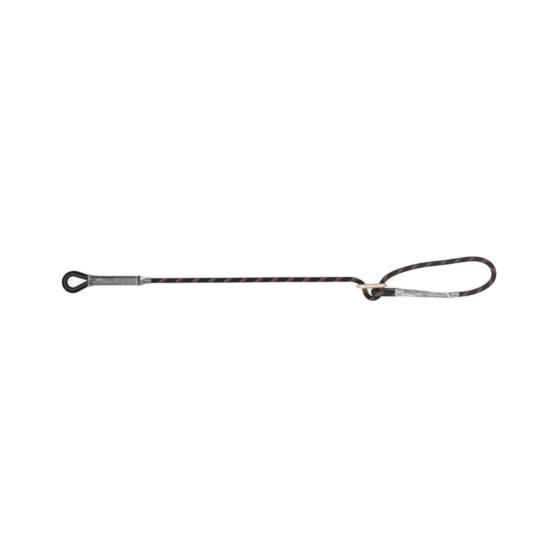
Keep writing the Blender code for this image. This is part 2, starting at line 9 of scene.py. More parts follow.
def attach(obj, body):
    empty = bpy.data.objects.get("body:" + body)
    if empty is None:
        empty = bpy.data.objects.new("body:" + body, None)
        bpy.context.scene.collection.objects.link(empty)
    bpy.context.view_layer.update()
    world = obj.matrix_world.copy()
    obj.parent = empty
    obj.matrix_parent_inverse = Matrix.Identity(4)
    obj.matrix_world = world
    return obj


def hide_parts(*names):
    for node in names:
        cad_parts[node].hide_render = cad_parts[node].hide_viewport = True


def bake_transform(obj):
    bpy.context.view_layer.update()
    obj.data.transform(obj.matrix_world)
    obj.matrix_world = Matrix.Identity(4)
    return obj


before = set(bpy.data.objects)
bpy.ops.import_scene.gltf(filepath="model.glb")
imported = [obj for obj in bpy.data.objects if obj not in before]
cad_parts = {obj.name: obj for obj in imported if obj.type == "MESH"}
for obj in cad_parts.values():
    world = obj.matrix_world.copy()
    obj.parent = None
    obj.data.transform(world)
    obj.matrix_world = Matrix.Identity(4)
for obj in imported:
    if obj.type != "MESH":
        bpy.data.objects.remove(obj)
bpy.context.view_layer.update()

# The camera looks straight down from far off, so heights hardly shift the picture.
camera = {
    "over": (0.04787, 0.01175),
    "height": 5.0,
    "frameWidth": 1.3854,
    "sensor": 36.0,
    "clip": (0.1, 50.0),
}


def placed(name, data):
    made = bpy.data.objects.new(name, data)
    bpy.context.scene.collection.objects.link(made)
    return made


def makeCamera():
    data = bpy.data.cameras.new("overheadCamera")
    data.sensor_width = camera["sensor"]
    data.lens = camera["sensor"] * camera["height"] / camera["frameWidth"]
    data.clip_start, data.clip_end = camera["clip"]
    made = placed("overheadCamera", data)
    made.location = (*camera["over"], camera["height"])
    bpy.context.scene.camera = made


making = {}  # the node tree in hand and its shader


def feed(value, socket):
    # A value is a number, a colour or another node's socket.
    if isinstance(value, bpy.types.NodeSocket):
        making["tree"].links.new(value, socket)
    else:
        socket.default_value = value


def fed(node, **values):
    for words, value in values.items():
        feed(value, node.inputs[words.replace("_", " ")])
    return node.outputs


def dress(**values):
    fed(making["shader"], **values)


def newNode(kind, **settings):
    node = making["tree"].nodes.new("ShaderNode" + kind)
    for words, value in settings.items():
        setattr(node, words, value)
    return node


def startTree(owner, shader):
    owner.use_nodes = True
    making["tree"], making["shader"] = owner.node_tree, owner.node_tree.nodes[shader]


def startMaterial(name, **settings):
    made = bpy.data.materials.new(name)
    startTree(made, "Principled BSDF")
    dress(**settings)
    return made


def calc(operation, *values, clamp=False):
    node = newNode("Math", operation=operation, use_clamp=clamp)
    for value, socket in zip(values, node.inputs):
        feed(value, socket)
    return node.outputs[0]


def times(first, second):
    return calc("MULTIPLY", first, second)


def mixed(share, first, second, blend="MIX"):
    node = newNode("Mix", data_type="RGBA", blend_type=blend)
    feed(share, node.inputs[0])
    for value, socket in ((first, node.inputs[6]), (second, node.inputs[7])):
        feed((*value, 1.0) if isinstance(value, tuple) else value, socket)
    return node.outputs[2]


def stepUp(value, low, high, fromLow=0.0, toHigh=1.0):
    node = newNode("MapRange", interpolation_type="SMOOTHSTEP")
    return fed(node, Value=value, From_Min=low, From_Max=high, To_Min=fromLow, To_Max=toHigh)["Result"]


def within(value, low, high, soft):
    rise = stepUp(value, low - soft, low + soft)
    return times(rise, stepUp(value, high - soft, high + soft, 1.0, 0.0))


def objectPlace():
    return newNode("TexCoord").outputs["Object"]


def stretched(place, scale):
    return fed(newNode("Mapping"), Vector=place, Scale=scale)["Vector"]


def grain(place, scale, detail=3.0):
    return fed(newNode("TexNoise"), Vector=place, Scale=scale, Detail=detail, Roughness=0.55)["Fac"]


def split(vector):
    return fed(newNode("SeparateXYZ"), Vector=vector)


def ownValue(name, output):
    return newNode("Attribute", attribute_name=name).outputs[output]


def bumped(height, distance, strength=1.0, under=None):
    node = newNode("Bump")
    if under:
        feed(under, node.inputs["Normal"])
    return fed(node, Height=height, Distance=distance, Strength=strength)["Normal"]


stage = {
    "floorSize": 12.0,
    "floorDrop": 0.0003,
    "floorColour": (0.36, 0.36, 0.36, 1.0),
    "floorRoughness": 0.9,
    "floorGlow": 0.70,
    "floorGlint": 0.4,  # the share of that glow in reflections
    "skyTop": 0.78,
    "skySide": 0.98,
    "skyFade": (-0.1, 0.9),  # heights of a direction where the side ends and the top starts
    "sun": 0.85,
    "sunSoftness": 60.0,
    "sunFrom": (-0.28, -0.08, 1.6),
    "white": (1.0, 1.0, 1.0, 1.0),
}


def makeFloor():
    work = bmesh.new()
    bmesh.ops.create_grid(work, x_segments=1, y_segments=1, size=stage["floorSize"] / 2)
    mesh = bpy.data.meshes.new("studioFloor")
    work.to_mesh(mesh)
    work.free()
    floor = placed("studioFloor", mesh)
    floor.location.z = -stage["floorDrop"]
    paint = startMaterial(
        "floorPaint", Base_Color=stage["floorColour"], Roughness=stage["floorRoughness"],
        Specular_IOR_Level=0.0, Emission_Color=stage["white"],
    )
    path = newNode("LightPath").outputs
    seen = calc("MAXIMUM", path["Is Camera Ray"], path["Is Transmission Ray"])
    seen = calc("MAXIMUM", seen, times(path["Is Glossy Ray"], stage["floorGlint"]))
    dress(Emission_Strength=times(seen, stage["floorGlow"]))
    mesh.materials.append(paint)


def makeSky():
    world = bpy.data.worlds.new("softRoom")
    bpy.context.scene.world = world
    startTree(world, "Background")
    up = split(newNode("TexCoord").outputs["Generated"])[2]
    glow = stepUp(up, *stage["skyFade"], stage["skySide"], stage["skyTop"])
    seen = newNode("LightPath").outputs["Is Camera Ray"]
    dress(Color=stage["white"], Strength=calc("MAXIMUM", glow, seen))


def makeSun():
    lamp = bpy.data.lights.new("softSun", "SUN")
    lamp.energy = stage["sun"]
    lamp.angle = math.radians(stage["sunSoftness"])
    sun = placed("softSun", lamp)
    sun.rotation_mode = "QUATERNION"
    sun.rotation_quaternion = Vector(stage["sunFrom"]).to_track_quat("Z", "Y")


makeCamera()
makeFloor()
makeSky()
makeSun()
bpy.context.scene.view_settings.view_transform = "Standard"
print("camera and stage are set")


rope = {
    "diameter": 0.012,
    "lie": 0.0062,  # height of the axis where the rope lies on the floor
    "pitch": 0.040,
    "sides": 72,
    "carriers": 24,  # in each direction
    "tracerGrey": 4,  # of them, side by side
    "tracerRed": 4,
    "relief": 0.00032,
    "sunk": 0.2,  # the share of that relief below the rope's nominal radius
    "full": 0.0001,  # how far the braid stands outside that radius
    "crown": 0.6,  # lower is blunter: a strand's form across it, and along it
    "hump": 0.5,
    "humpShare": 0.4,
    "perSpan": 24,  # rows between two points of a route
    "sewnRows": (90, 110),  # on the sewn strand with the cut end, and on the other
}

# Routes of the free rope and the terminal eye: x, y and how far the axis is lifted there.
standingLifts = [
    (-0.2640, 0.0104, 0.0011), (-0.2490, 0.0104, 0.0004), (-0.2243, 0.0105, 0.0), (-0.1624, 0.0110, 0.0),
    (-0.0882, 0.0113, 0.0), (-0.0140, 0.0120, 0.0), (0.0602, 0.0127, 0.0), (0.1345, 0.0127, 0.0),
    (0.1840, 0.0132, 0.0001), (0.2087, 0.0133, 0.0012),
]
bightLifts = [
    (0.2211, 0.0133, 0.0032), (0.2309, 0.0121, 0.0060), (0.2397, 0.0092, 0.0092), (0.2475, 0.0048, 0.0119),
    (0.2521, 0.0000, 0.0131), (0.2545, -0.0046, 0.0133), (0.2564, -0.0112, 0.0118), (0.2586, -0.0183, 0.0084),
    (0.2631, -0.0266, 0.0040), (0.2692, -0.0317, 0.0010), (0.2760, -0.0336, 0.0001), (0.2834, -0.0323, 0.0016),
    (0.2903, -0.0281, 0.0056), (0.2950, -0.0222, 0.0098), (0.2971, -0.0155, 0.0131), (0.2977, -0.0090, 0.0137),
    (0.2976, -0.0031, 0.0137), (0.2984, 0.0027, 0.0136), (0.3023, 0.0088, 0.0125), (0.3078, 0.0151, 0.0100),
    (0.3151, 0.0209, 0.0068), (0.3226, 0.0252, 0.0040),
]
loopLifts = [
    (0.3375, 0.0318, 0.0010), (0.3598, 0.0393, 0.0), (0.3893, 0.0466, 0.0), (0.4190, 0.0512, 0.0),
    (0.4486, 0.0544, 0.0), (0.4783, 0.0586, 0.0), (0.5080, 0.0628, 0.0), (0.5228, 0.0638, 0.0),
    (0.5377, 0.0630, 0.0), (0.5526, 0.0590, 0.0), (0.5652, 0.0515, 0.0), (0.5737, 0.0400, 0.0),
    (0.5764, 0.0262, 0.0), (0.5731, 0.0128, 0.0), (0.5655, 0.0031, 0.0), (0.5558, -0.0046, 0.0),
    (0.5446, -0.0107, 0.0), (0.5375, -0.0138, 0.0), (0.5229, -0.0188, 0.0), (0.5080, -0.0217, 0.0002),
    (0.4985, -0.0230, 0.0006),
]
terminalLifts = [
    (0.3235, -0.0229, 0.0165), (0.3110, -0.0227, 0.0208), (0.2990, -0.0224, 0.0240), (0.2905, -0.0220, 0.0244),
    (0.2826, -0.0210, 0.0215), (0.2777, -0.0193, 0.0150), (0.2774, -0.0171, 0.0085), (0.2814, -0.0149, 0.0032),
    (0.2900, -0.0137, 0.0004), (0.3050, -0.0134, 0.0), (0.3200, -0.0142, 0.0004),
]
# Where the tracer's middle lies on top of the free rope, once a turn: lengths along it.
tracerMarks = [
    0.0310, 0.0709, 0.1122, 0.1522, 0.1908, 0.2299, 0.2680, 0.3072, 0.3454, 0.3856, 0.4245, 0.4640,
    0.5040, 0.5430, 0.5768, 0.6160, 0.6400, 0.6880, 0.7235, 0.7594, 0.7955, 0.8320, 0.8666, 0.8988,
    0.9310, 0.9642, 0.9980, 1.0343,
]


def lifted(lifts):
    return [(x, y, rope["lie"] + lift, rope["diameter"] / 2) for x, y, lift in lifts]


def smoothLine(points):
    # A smooth curve through the points, a row for each place on it, the radius eased between them.
    given = np.array(points, float)
    places = given[:, :3]
    around = np.vstack([2 * places[0] - places[1], places, 2 * places[-1] - places[-2]])
    line = []
    for i in range(len(places) - 1):
        p = around[i : i + 4]
        t = np.concatenate([[0.0], np.cumsum(np.sqrt(np.linalg.norm(np.diff(p, axis=0), axis=1)))])
        for share in np.arange(rope["perSpan"]) / rope["perSpan"]:
            at = t[1] + share * (t[2] - t[1])
            level = p
            for spans in (((0, 1), (1, 2), (2, 3)), ((0, 2), (1, 3)), ((1, 2),)):
                level = [
                    level[k] + (level[k + 1] - level[k]) * (at - t[low]) / (t[high] - t[low])
                    for k, (low, high) in enumerate(spans)
                ]
            radius = given[i, 3] + share * share * (3 - 2 * share) * (given[i + 1, 3] - given[i, 3])
            line.append([*level[0], radius])
    return np.array([*line, given[-1]])


def lengthsOf(line):
    steps = np.linalg.norm(np.diff(line[:, :3], axis=0), axis=1)
    return np.concatenate([[0.0], np.cumsum(steps)])


def alongLine(line, lengths, wanted):
    return np.stack([np.interp(wanted, lengths, line[:, k]) for k in range(line.shape[1])], axis=1)


# Rows of a sewn end: x, y, half the strands' spread, how they stack, their radius and the cover's share.
leftSewn = {
    "rows": [
        (-0.4262, 0.0103, 0.0085, 0.0, 0.0057, 0.0), (-0.4172, 0.0103, 0.0068, 0.0, 0.0054, 0.3),
        (-0.4048, 0.0103, 0.0056, 0.0, 0.0052, 1.0), (-0.3950, 0.0103, 0.0053, 0.0, 0.0050, 1.0),
        (-0.3099, 0.0103, 0.0053, 0.0, 0.0050, 1.0), (-0.2985, 0.0103, 0.0056, 0.0, 0.00525, 0.2),
        (-0.2934, 0.0103, 0.0037, 0.0, 0.0056, 0.0), (-0.2881, 0.0103, 0.0020, 0.0, 0.0056, 0.0),
        (-0.2806, 0.0103, 0.0005, 0.0, 0.0060, 0.0), (-0.2742, 0.0103, 0.0, 0.0, 0.0060, 0.0),
        (-0.2718, 0.0103, 0.0, 0.0, 0.0060, 0.0),
    ],
    "seam": 0.0015,
    "axisZ": 0.0077,
    "tailEnd": -0.2972,
    "sleeve": (-0.4262, -0.2708),
}
rightSewn = {
    "rows": [
        (0.3329, -0.0184, 0.0071, 2.2200, 0.0054, 0.0), (0.3428, -0.0188, 0.0059, 2.0900, 0.0052, 0.6),
        (0.3586, -0.0195, 0.0053, 1.9808, 0.0050, 1.0), (0.3868, -0.0215, 0.0053, 1.9008, 0.0050, 1.0),
        (0.4150, -0.0238, 0.0053, 1.7208, 0.0050, 1.0), (0.4291, -0.0248, 0.0053, 1.6308, 0.0050, 0.0),
        (0.4585, -0.0260, 0.00555, 1.5708, 0.00525, 0.0), (0.4704, -0.0252, 0.0026, 1.5708, 0.0056, 0.0),
        (0.4804, -0.0243, 0.0005, 1.5708, 0.0060, 0.0), (0.4883, -0.0238, 0.0, 1.5708, 0.0060, 0.0),
        (0.4907, -0.0238, 0.0, 1.5708, 0.0060, 0.0),
    ],
    "seam": 0.0009,
    "axisZ": None,
    "tailEnd": 0.4585,
    "sleeve": (0.3316, 0.4894),
}
sleeveFit = {
    "wall": 0.0005,
    "room": 0.0005,
    "flare": 0.0004,
    "flareLength": 0.006,
    "floorGap": 0.0002,
}


def rowValues(rows, x):
    # A cubic between the rows that never overshoots them.
    i = 0
    while i < len(rows) - 2 and x > rows[i + 1][0]:
        i += 1

    def slope(k, column):
        rises = [
            (rows[j + 1][column] - rows[j][column]) / (rows[j + 1][0] - rows[j][0])
            for j in (max(k - 1, 0), min(k, len(rows) - 2))
        ]
        product = rises[0] * rises[1]
        return 2 * product / (rises[0] + rises[1]) if product > 0 else 0.0

    span = rows[i + 1][0] - rows[i][0]
    t = min(max((x - rows[i][0]) / span, 0.0), 1.0)
    return [
        (1 + 2 * t) * (1 - t) ** 2 * rows[i][k]
        + t * (1 - t) ** 2 * span * slope(i, k)
        + t * t * (3 - 2 * t) * rows[i + 1][k]
        - t * t * (1 - t) * span * slope(i + 1, k)
        for k in range(1, 6)
    ]


def sewnFrame(end, x):
    x = float(x)
    y, spread, stack, radius, packed = rowValues(end["rows"], x)
    across = Vector((0, math.cos(stack), math.sin(stack)))
    outward = Vector((0, -math.sin(stack), math.cos(stack)))
    skin = sleeveFit["room"] + sleeveFit["wall"]
    cover = skin + packed * end["seam"]
    flare = sleeveFit["flare"] * max(0.0, 1 - (x - end["rows"][0][0]) / sleeveFit["flareLength"])
    z = end["axisZ"]
    if z is None:
        z = spread * across.z + math.hypot((radius + skin) * across.z, (radius + cover) * outward.z)
        z += flare + sleeveFit["floorGap"]
    return Vector((x, y, z)), across, outward, spread, radius, cover, flare


def strand(end, x, side):
    middle, across, _, spread, radius, _, _ = sewnFrame(end, x)
    return (*(middle + side * spread * across), radius)


def sewnLine(end, eye):
    # The rope's axis from its cut end along one strand, round the eye and back along the other.
    start, finish, span = end["rows"][0][0], end["rows"][-1][0], rope["perSpan"]
    there = [strand(end, x, 1) for x in np.linspace(end["tailEnd"], start, rope["sewnRows"][0])]
    back = [strand(end, x, -1) for x in np.linspace(start, finish, rope["sewnRows"][1])]
    bend = smoothLine([there[-2], there[-1], *eye, back[0], back[1]])
    return np.vstack([np.array(there[:-1]), bend[span:-span], np.array(back[1:])])


def unit(rows):
    return rows / np.linalg.norm(rows, axis=1)[:, None]


def outwardFrom(angle, left, top):
    # Steps out from a tube's axis: a row for each place along it, a column for each angle.
    return np.cos(angle)[None, :, None] * left[:, None, :] + np.sin(angle)[None, :, None] * top[:, None, :]


def gridMesh(name, places, **values):
    # A plain grid, its vertices moved to places[row, column]. Values become point attributes.
    rows, columns = places.shape[0] - 1, places.shape[1] - 1
    work = bmesh.new()
    bmesh.ops.create_grid(work, x_segments=columns, y_segments=rows, size=1.0)
    mesh = bpy.data.meshes.new(name)
    work.to_mesh(mesh)
    work.free()
    flat = np.zeros(len(mesh.vertices) * 3)
    mesh.vertices.foreach_get("co", flat)
    flat = flat.reshape(-1, 3)
    column = np.rint((flat[:, 0] + 1) / 2 * columns).astype(int)
    row = np.rint((flat[:, 1] + 1) / 2 * rows).astype(int)
    mesh.vertices.foreach_set("co", places[row, column].astype(np.float32).ravel())
    for words, numbers in values.items():
        kind, field = ("FLOAT_VECTOR", "vector") if numbers.ndim == 3 else ("FLOAT", "value")
        layer = mesh.attributes.new(words, kind, "POINT")
        layer.data.foreach_set(field, numbers[row, column].astype(np.float32).ravel())
    return mesh


def addPiece(name, mesh, body, slot, *finishes, replaces=()):
    made = placed(name, mesh)
    for finish in finishes:
        mesh.materials.append(finish)
    if body:
        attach(made, body)
    if replaces:
        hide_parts(*replaces)
    return made


weldDistance = 1e-7


def welded(mesh, coreInset=0.0, wall=False, facesUp=False):
    # The grid's seam is welded. A tube's open ends are closed, with a smaller face where the core shows.
    work = bmesh.new()
    work.from_mesh(mesh)
    bmesh.ops.remove_doubles(work, verts=work.verts, dist=weldDistance)
    for face in work.faces:
        face.smooth = True
    rims = [edge for edge in work.edges if edge.is_boundary]
    if rims and not wall:
        for edge in rims:
            edge.smooth = False
        caps = bmesh.ops.holes_fill(work, edges=rims, sides=0)["faces"]
        for cap in caps:
            cap.smooth = False
        if coreInset:
            bmesh.ops.inset_individual(work, faces=caps, thickness=coreInset)
            for cap in caps:
                cap.material_index = 1
    bmesh.ops.recalc_face_normals(work, faces=work.faces)
    if facesUp and sum(face.normal.z for face in work.faces) < 0:
        bmesh.ops.reverse_faces(work, faces=work.faces)
    work.to_mesh(mesh)
    work.free()
    return mesh


def braidHeight(turn, travel):
    # Two by two strands: how high the top one stands at a place round and along the rope.
    first, second = rope["carriers"] * (turn + travel), rope["carriers"] * (turn - travel)
    order = np.mod(np.floor(first) + np.floor(second), 4)
    firstShare, secondShare = first - np.floor(first), second - np.floor(second)
    side = np.where(order < 2, firstShare, secondShare)
    along = np.where(order < 2, order + secondShare, order - 2 + firstShare) / 2
    crown = np.clip(np.sin(np.pi * side), 0, 1) ** rope["crown"]
    hump = np.clip(np.sin(np.pi * along), 0, 1) ** rope["hump"]
    return crown * (1 - rope["humpShare"] + rope["humpShare"] * hump)


tube = {
    "endGap": 0.3,  # the least share of a row before a cut end
    "fine": 4000,
    "probe": 0.0006,
    "flatter": 0.3,  # how much of a spread the rope loses in height
    "highlightSide": (0.0, 0.31, 0.951),  # the way that a painted highlight on the top faces, and how narrow it is
    "highlightNarrow": 20,
}


def ropeMesh(name, line, travelAt, facing="up", coreInset=0.0, wider=None, pale=None):
    # At each row of the line, wider is the rope's spread across a tight bend and pale the share of a painted
    # highlight along its top.
    lengths = lengthsOf(line)
    low, high = travelAt(0.0), travelAt(lengths[-1])
    sides, gap = rope["sides"], tube["endGap"]
    travel = np.arange(math.ceil(low * sides + gap), math.floor(high * sides - gap) + 1) / sides
    travel = np.concatenate([[low], travel, [high]])
    fine = np.linspace(0, lengths[-1], tube["fine"])
    wanted = np.interp(travel, [travelAt(s) for s in fine], fine)
    rows = alongLine(line, lengths, wanted)
    ahead = alongLine(line, lengths, np.clip(wanted + tube["probe"], 0, lengths[-1]))
    behind = alongLine(line, lengths, np.clip(wanted - tube["probe"], 0, lengths[-1]))
    along = unit(ahead[:, :3] - behind[:, :3])
    if facing == "up":
        left = unit(np.cross([0, 0, 1], along))
    else:
        left = unit(np.array([0, 1, 0]) - along[:, 1:2] * along)
    top = np.cross(along, left)
    turn = (np.arange(sides + 1) % sides + 0.5) / sides
    angle = 2 * math.pi * turn
    height = braidHeight(turn[None, :], travel[:, None])
    radius = rows[:, 3:4] + rope["relief"] * (height - rope["sunk"]) + rope["full"]
    if wider is not None:
        spread = np.interp(wanted, lengths, wider)[:, None]
        left, top = left * (1 + spread), top * (1 - tube["flatter"] * spread)
    outward = outwardFrom(angle, left, top)
    places = rows[:, None, :3] + radius[:, :, None] * outward
    braid = np.broadcast_arrays(np.cos(angle)[None, :], np.sin(angle)[None, :], travel[:, None])
    values = {"braid": np.stack(braid, axis=2)}
    if pale is not None:
        # A painted highlight along the rope's top, on the side that faces up and a little towards +y.
        lit = np.clip(outward @ np.array(tube["highlightSide"]), 0, 1) ** tube["highlightNarrow"]
        values["pale"] = np.interp(wanted, lengths, pale)[:, None] * lit
    return welded(gridMesh(name, places, **values), coreInset)


sheath = {
    "black": (0.009, 0.009, 0.010),
    "blackHigh": (0.026, 0.026, 0.027),
    "greyTracer": (0.27, 0.23, 0.245),
    "redTracer": (0.35, 0.085, 0.13),
    "tracerShade": (0.05, 0.035, 0.04),
    "tracerShadeShare": 0.3,
    # The rope grows lighter towards the loop's half, by x.
    "lighter": (0.16, 0.155, 0.155),
    "lighterRise": (0.20, 0.38, 0.0, 0.17),  # from x to x, and from share to share
    # A painted highlight along the eye's top, laid over a slight paleness all over the eye.
    "eyePaleAndHighlight": (0.29, 0.278, 0.281),
    "eyePaleLeast": 0.085,
    "fadeOver": 0.006,
    "fadedShare": 0.2,
    "fibres": (7.0, 0.9, 3.7),  # how fine across a strand and along it, and from strand to strand
    "wear": 60.0,
    "wearRoughness": (0.3, 0.7, 0.68, 0.86),
    "groove": (0.02, 0.5, 0.3, 1.0),  # painted shade between strands, and how dark it is
    "relief": (0.00022, 0.8),  # a bump's depth and strength
    "fibreRelief": (0.00005, 0.7),
    "core": (0.72, 0.70, 0.65, 1.0),
    "coreShade": (0.50, 0.49, 0.45),
    "coreFibres": 2600.0,
    "coreRelief": 0.0001,
}


def pick(share, first, second):
    return calc("MULTIPLY_ADD", share, calc("SUBTRACT", first, second), second)


def makeSheath(name, tracerShare=1.0, depth=1.0, fadeFrom=None):
    made = startMaterial(name, Specular_IOR_Level=0.09)
    braid = split(ownValue("braid", "Vector"))
    turn = calc("DIVIDE", calc("ARCTAN2", braid[1], braid[0]), 2 * math.pi)
    carriers = float(rope["carriers"])
    first = times(calc("ADD", turn, braid[2]), carriers)
    second = times(calc("SUBTRACT", turn, braid[2]), carriers)
    firstCell, secondCell = calc("FLOOR", first), calc("FLOOR", second)
    firstShare, secondShare = calc("FRACT", first), calc("FRACT", second)
    order = calc("FLOORED_MODULO", calc("ADD", firstCell, secondCell), 4.0)
    onTop = calc("LESS_THAN", order, 1.5)
    side = pick(onTop, firstShare, secondShare)
    lowerAlong = calc("ADD", calc("SUBTRACT", order, 2.0), firstShare)
    along = pick(onTop, calc("ADD", order, secondShare), lowerAlong)
    crown = calc("SINE", times(side, math.pi))
    hump = calc("POWER", calc("SINE", times(along, math.pi / 2)), rope["hump"])
    hump = calc("MULTIPLY_ADD", hump, rope["humpShare"], 1 - rope["humpShare"])
    stand = times(calc("POWER", crown, rope["crown"]), hump)

    # Each strand has its own fibres, drawn out along it.
    scales = zip((side, along, pick(onTop, firstCell, secondCell)), sheath["fibres"])
    x, y, z = (times(value, scale) for value, scale in scales)
    fibres = grain(fed(newNode("CombineXYZ"), X=x, Y=y, Z=z)[0], 1.0, 2.0)
    wear = grain(objectPlace(), sheath["wear"], 4.0)

    # depth below 1 darkens the black: painted shade on the rope in the thimble's groove.
    blacks = (tuple(depth * part for part in sheath[tone]) for tone in ("black", "blackHigh"))
    black = mixed(fibres, *blacks)
    carrier = calc("FLOORED_MODULO", firstCell, carriers)
    isGrey = calc("LESS_THAN", carrier, rope["tracerGrey"] - 0.5)
    tracer = mixed(isGrey, sheath["redTracer"], sheath["greyTracer"])
    shade = times(fibres, sheath["tracerShadeShare"])
    tracer = mixed(shade, tracer, sheath["tracerShade"])
    isTracer = calc("LESS_THAN", carrier, rope["tracerGrey"] + rope["tracerRed"] - 0.5)
    coloured = times(times(isTracer, onTop), tracerShare)
    across = split(objectPlace())[0]
    if fadeFrom:
        shown = stepUp(across, fadeFrom, fadeFrom + sheath["fadeOver"], 1.0, sheath["fadedShare"])
        # The eye's rope is a little paler all over, and pale lays a painted highlight along its top.
        lighter = calc("MAXIMUM", ownValue("pale", "Fac"), sheath["eyePaleLeast"])
        colour = mixed(times(coloured, shown), black, tracer)
        colour = mixed(lighter, colour, sheath["eyePaleAndHighlight"])
    else:
        colour = mixed(coloured, black, tracer)
        # Towards the loop's half the rope grows lighter, by x.
        colour = mixed(stepUp(across, *sheath["lighterRise"]), colour, sheath["lighter"])
    # Painted shade darkens the colour between the strands.
    groove = mixed(stepUp(stand, *sheath["groove"]), (0, 0, 0), (1, 1, 1))
    relief = bumped(stand, *sheath["relief"])
    dress(
        Base_Color=mixed(1.0, colour, groove, "MULTIPLY"),
        Roughness=stepUp(wear, *sheath["wearRoughness"]),
        Normal=bumped(fibres, *sheath["fibreRelief"], relief),
    )
    return made


def makeCore():
    made = startMaterial("ropeCore", Base_Color=sheath["core"], Roughness=0.85)
    fibres = grain(objectPlace(), sheath["coreFibres"], 2.0)
    dress(
        Base_Color=mixed(fibres, sheath["coreShade"], sheath["core"][:3]),
        Normal=bumped(fibres, sheath["coreRelief"]),
    )
    return made


sheathFinish, coreFinish = makeSheath("braidedSheath"), makeCore()
# Round the thimble the tracer hardly shows and painted shade darkens the sheath, and under the right sleeve
# the tracer fades.
shadedSheathFinish = makeSheath("shadedBraidedSheath", tracerShare=0.12, depth=0.45)
eyeSheathFinish = makeSheath("eyeBraidedSheath", fadeFrom=0.334)

freeRopes = {
    "start": 0.00015,  # how far past a sewn end's last row the first point is
    "straight": 0.0012,  # and the second, so that the rope leaves straight
    "rightExit": 0.0072,
    "loopBlend": (0.4907, 0.5700),
    "beforeFirst": 1.15,  # pitches from the first mark to the turn before it
    "pathPoints": 60,
}
leftExit, rightExit = leftSewn["rows"][-1], rightSewn["rows"][-1]


def exitPoint(end, off, height):
    return (end[0] + off, end[1], height, rope["diameter"] / 2)


freeLine = smoothLine([
    exitPoint(leftExit, freeRopes["start"], leftSewn["axisZ"]),
    exitPoint(leftExit, freeRopes["straight"], leftSewn["axisZ"]),
    *lifted(standingLifts),
    *lifted(bightLifts),
    *lifted(loopLifts),
    exitPoint(rightExit, freeRopes["straight"], freeRopes["rightExit"]),
    exitPoint(rightExit, freeRopes["start"], freeRopes["rightExit"]),
])
freeLengths = lengthsOf(freeLine)
splitRow = (2 + len(standingLifts) - 1) * rope["perSpan"]

tracerTop = (rope["tracerGrey"] + rope["tracerRed"]) / 2 / rope["carriers"] - 0.25
firstPlace = tracerMarks[0] - freeRopes["beforeFirst"] * rope["pitch"]
markPlaces = [firstPlace, *tracerMarks, tracerMarks[-1] + rope["pitch"]]
markTurns = [turn + tracerTop for turn in range(-1, len(tracerMarks) + 1)]


def freeTravel(place):
    return float(np.interp(place, markPlaces, markTurns))


def freeRope(name, start, finish, replaces):
    line = freeLine[start : finish + 1]
    mesh = ropeMesh(name, line, lambda place: freeTravel(place + freeLengths[start]))
    piece = addPiece(name, mesh, None, "braided_sheath", sheathFinish, replaces=replaces)
    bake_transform(piece)


freeRope(
    "standingRope", 0, splitRow,
    ("standing_part_sheath", "standing_part_core"),
)
freeRope(
    "loopRope", splitRow, len(freeLine) - 1,
    (
        "adjuster_bight_sheath", "adjuster_bight_core", "loop_out_sheath", "loop_out_core",
        "loop_bend_sheath", "loop_bend_core", "loop_return_sheath", "loop_return_core",
    ),
)
print("free rope is laid")


thimble = {
    "centre": (-0.4637, 0.0070, 0.0077),
    "droop": math.radians(6),
    "eyeRadius": 0.0132,
    "lean": 0.3758,
    "tipRadius": 0.0005,
    "nose": 0.0362,
    "noseEase": 0.004,  # how far out the nose has gone from its point to a straight cut
    "steps": (120, 30, 16),  # points of the round end, a flank and the nose
    "grooveRadius": 0.006,
    "grooveTo": -0.4172,
    "grooveSides": 48,
    "grooveRows": 160,
    "sharpFrom": math.radians(35),
    # Across the moulding: how far out from the eye's edge, and how high above its middle.
    "profile": [
        (0.0110, 0.0030), (0.0110, 0.0052), (0.0108, 0.0060), (0.0103, 0.0066), (0.0094, 0.00712),
        (0.0083, 0.00748), (0.0070, 0.00768), (0.0058, 0.0077), (0.0046, 0.00762), (0.0034, 0.0074),
        (0.0022, 0.00698), (0.0012, 0.00640), (0.0005, 0.0057), (0.0001, 0.0048), (0.0, 0.0038),
        (0.0, 0.0018),
    ],
}
eyeRoute = [
    (-0.44270, 0.02425), (-0.45720, 0.02840), (-0.46599, 0.0283), (-0.47407, 0.02558), (-0.48057, 0.02016),
    (-0.48451, 0.01267), (-0.48528, 0.00425), (-0.48277, -0.00383), (-0.47736, -0.01034), (-0.46988, -0.01429),
    (-0.46145, -0.01507), (-0.45337, -0.01257), (-0.44009, -0.00538),
]


def dropOutline(out):
    # The eye's outline grown by out: round end, flanks, and a nose from a point to a straight cut.
    lean, nose = thimble["lean"], thimble["nose"]
    big, small = thimble["eyeRadius"] + out, thimble["tipRadius"] + out
    tip = (thimble["eyeRadius"] - thimble["tipRadius"]) / math.sin(lean)
    cut = min(max(out / thimble["noseEase"], 0.0), 1.0)
    cut = cut * cut * (3 - 2 * cut)
    corner = (nose, (big - nose * math.sin(lean)) / math.cos(lean))
    touch = (tip + small * math.sin(lean), small * math.cos(lean))
    flankEnd = [touch[k] + cut * (corner[k] - touch[k]) for k in range(2)]
    roundSteps, flankSteps, noseSteps = thimble["steps"]
    quarter = math.pi / 2 - lean

    def flank(start, end, steps):
        return [[start[j] + (end[j] - start[j]) * k / flankSteps for j in range(2)] for k in steps]

    points = []
    for k in range(roundSteps + 1):
        a = quarter + (2 * math.pi - 2 * quarter) * k / roundSteps
        points.append((big * math.cos(a), big * math.sin(a)))
    points += flank(points[-1], (flankEnd[0], -flankEnd[1]), range(1, flankSteps + 1))
    for k in range(1, noseSteps):
        a = quarter * (2 * k / noseSteps - 1)
        straight = (nose, corner[1] * (2 * k / noseSteps - 1))
        bent = (tip + small * math.cos(a), small * math.sin(a))
        points.append([bent[j] + cut * (straight[j] - bent[j]) for j in range(2)])
    return np.array(points + flank(flankEnd, points[0], range(flankSteps)))


